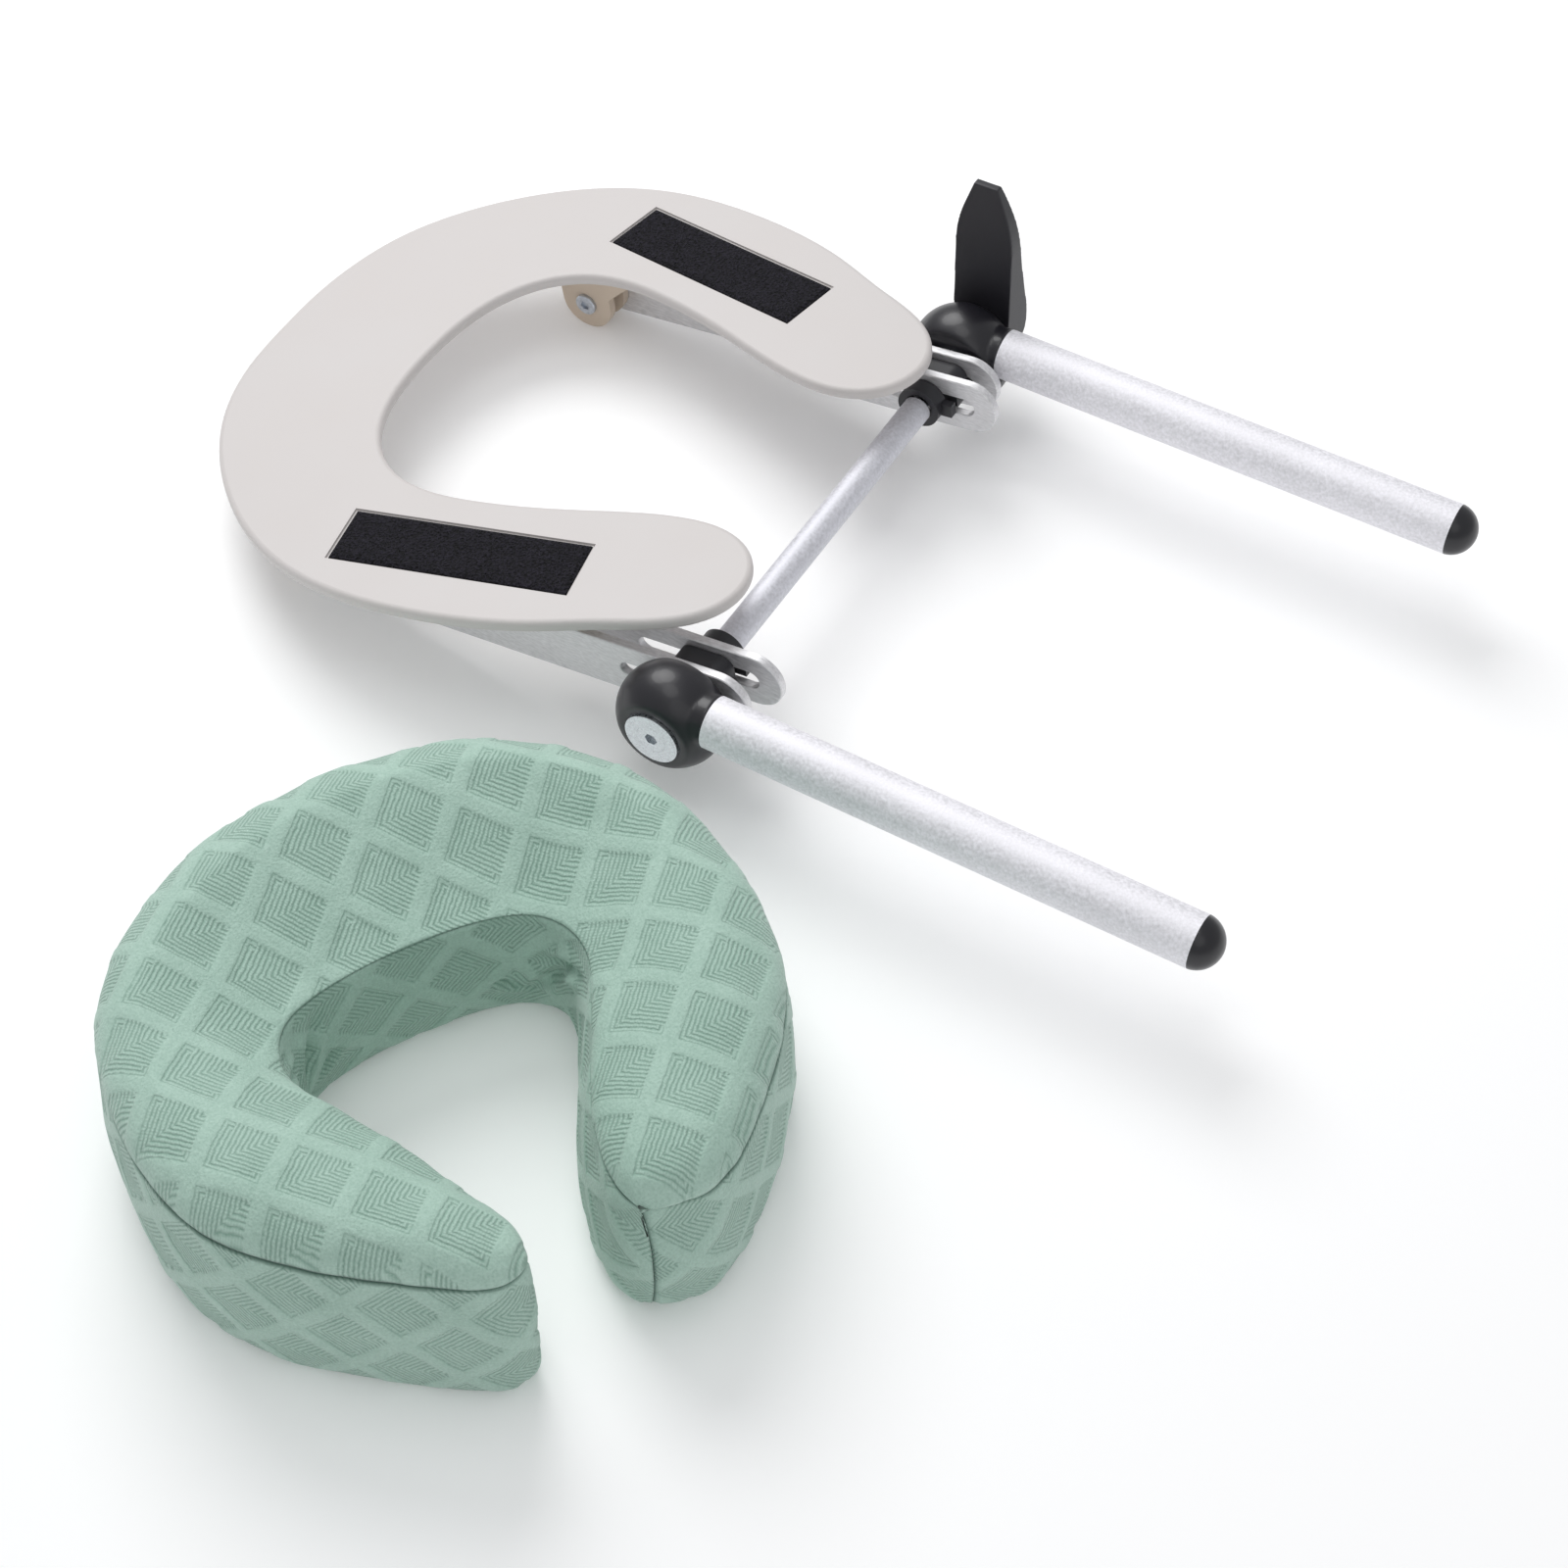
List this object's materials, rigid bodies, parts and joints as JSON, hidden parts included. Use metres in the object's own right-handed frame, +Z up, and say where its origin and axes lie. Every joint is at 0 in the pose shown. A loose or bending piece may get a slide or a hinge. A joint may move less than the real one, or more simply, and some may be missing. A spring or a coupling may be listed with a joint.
{
  "type": "massage face cradle with cushion",
  "caption": "Adjustable massage face cradle on two posts, with its quick-release lever, horseshoe platform and removable horseshoe face cushion beside it.",
  "frame": {"origin": "middle of the whole set's footprint, on the floor it lies on", "axes": "+X along the two posts towards their free ends, +Y from the near post to the far post with the cam lever, +Z up"},
  "size_m": [0.5147, 0.574, 0.1184],
  "materials": {
    "satin_aluminium": "satin, fine grain",
    "tube_aluminium": "brushed along the tube",
    "plate_aluminium": "satin rolled plate",
    "bright_steel": "bright plated",
    "zinc_steel": "zinc plated",
    "black_hub": "satin moulded",
    "black_lever": "fine matte moulded",
    "black_fitting": "matte moulded",
    "black_cap": "semi gloss moulded",
    "cream_board": "smooth satin",
    "tan_bracket": "smooth moulded",
    "hook_tape": "dense hook pile",
    "foam": "open cell foam",
    "sage_knit": "soft jacquard knit",
    "base_cloth": "plain knit",
    "loop_tape": "brushed loop pile",
    "zip_cloth": "woven tape",
    "zip_metal": "nickel plated"
  },
  "bodies": {
    "posts": {"near_post": "satin_aluminium", "far_post": "satin_aluminium", "near_post_cap": "black_cap", "far_post_cap": "black_cap", "near_hub": "black_hub", "far_hub": "black_hub", "near_thrust_washer": "bright_steel", "far_thrust_washer": "bright_steel", "head_washer": "bright_steel", "pivot_bolt": "bright_steel", "cross_tube": "tube_aluminium", "cam_washer": "bright_steel", "cam_pin": "bright_steel"},
    "lever": {"cam_lever": "black_lever"},
    "struts": {"near_strut": "plate_aluminium", "far_strut": "plate_aluminium", "near_spacer": "black_fitting", "far_spacer": "black_fitting", "near_collar": "black_fitting", "far_collar": "black_fitting"},
    "platform": {"platform": "cream_board", "near_hook_strip": "hook_tape", "far_hook_strip": "hook_tape", "near_front_bracket": "tan_bracket", "far_front_bracket": "tan_bracket", "near_rear_bracket": "tan_bracket", "far_rear_bracket": "tan_bracket", "near_front_pin": "zinc_steel", "far_front_pin": "zinc_steel", "near_rear_pin": "zinc_steel", "far_rear_pin": "zinc_steel", "bracket_screws": "zinc_steel"},
    "links": {"near_link": "plate_aluminium", "far_link": "plate_aluminium"},
    "cushion": {"foam_core": "foam", "top_panel": "sage_knit", "outer_band": "sage_knit", "inner_band": "sage_knit", "base_panel": "base_cloth", "near_loop_strip": "loop_tape", "far_loop_strip": "loop_tape", "zip_tape": "zip_cloth", "zip_slider": "zip_metal", "zip_puller": "zip_metal"}
  },
  "joints": [
    {"name": "strut_swing", "type": "hinge", "parent": "posts", "child": "struts", "pos_m": [0.01766, 0.13059, 0.0383], "axis": [0, 1, 0], "range_deg": [-30, 55]},
    {"name": "platform_tilt", "type": "hinge", "parent": "struts", "child": "platform", "pos_m": [-0.15903, 0.13059, 0.0129], "axis": [0, -1, 0], "range_deg": [0, 15]},
    {"name": "link_fold", "type": "hinge", "parent": "platform", "child": "links", "pos_m": [-0.04668, 0.13059, 0.02905], "axis": [0, -1, 0], "range_deg": [-39, 0.5]},
    {"name": "cam_flip", "type": "hinge", "parent": "posts", "child": "lever", "pos_m": [0.01766, 0.27779, 0.0383], "axis": [-1, 0, 0], "range_deg": [0, 92]},
    {"name": "cushion_lift", "type": "slide", "parent": "posts", "child": "cushion", "axis": [0, 0, 1], "range_m": [0, 0.15]}
  ],
  "couplings": [
    {"joint": "link_fold", "follows": "platform_tilt", "ratio": -2.58}
  ]
}
